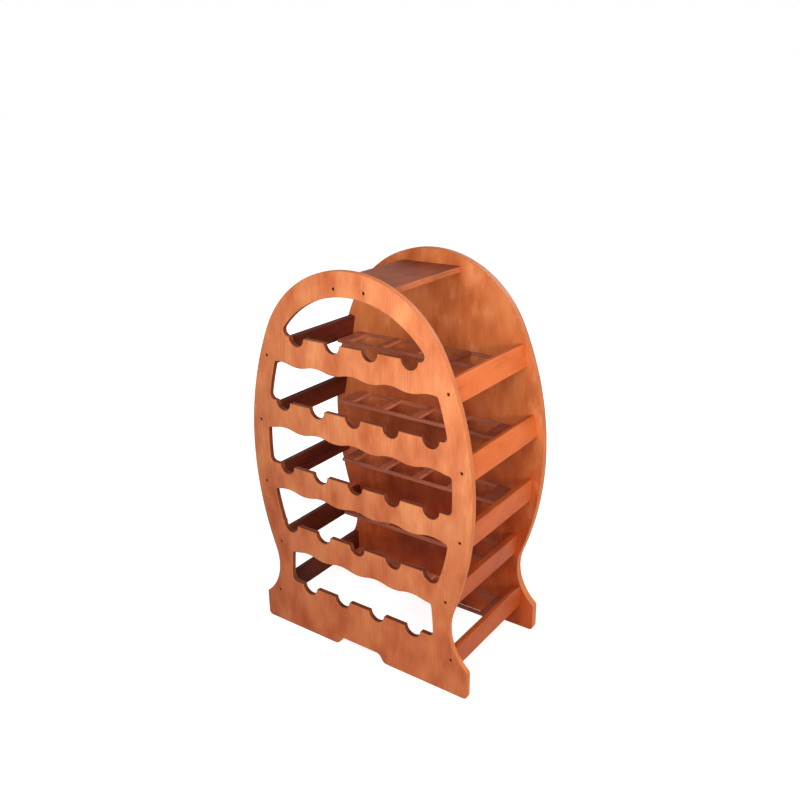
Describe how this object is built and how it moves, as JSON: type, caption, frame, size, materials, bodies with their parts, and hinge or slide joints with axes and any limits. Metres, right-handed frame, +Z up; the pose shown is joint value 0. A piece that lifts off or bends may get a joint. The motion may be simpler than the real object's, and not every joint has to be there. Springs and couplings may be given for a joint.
{
  "type": "wine rack",
  "caption": "Open barrel-shaped wooden wine rack: a windowed front panel with neck notches and a solid back panel, joined by side rails, rest boards and a top board.",
  "frame": {"origin": "centre of the footprint on the floor, midway between the two panels' outer faces", "axes": "+X to the right seen from the front, +Y from the windowed front panel to the solid back panel, +Z up"},
  "size_m": [0.5, 0.273, 0.76],
  "materials": {
    "panel_wood": "plywood stained reddish brown, satin varnish",
    "rail_wood": "solid wood stained reddish brown, satin varnish",
    "board_wood": "thin board stained reddish brown, satin varnish",
    "screw_steel": "burnished dark steel"
  },
  "bodies": {
    "root": {"front_panel": "panel_wood", "back_panel": "panel_wood", "top_board": "board_wood", "left_rail_1": "rail_wood", "left_rail_2": "rail_wood", "left_rail_3": "rail_wood", "left_rail_4": "rail_wood", "left_rail_5": "rail_wood", "right_rail_1": "rail_wood", "right_rail_2": "rail_wood", "right_rail_3": "rail_wood", "right_rail_4": "rail_wood", "right_rail_5": "rail_wood", "bottle_rest_1": "board_wood", "bottle_rest_2": "board_wood", "bottle_rest_3": "board_wood", "bottle_rest_4": "board_wood", "bottle_rest_5": "board_wood", "front_screws": "screw_steel", "back_screws": "screw_steel"}
  },
  "joints": []
}
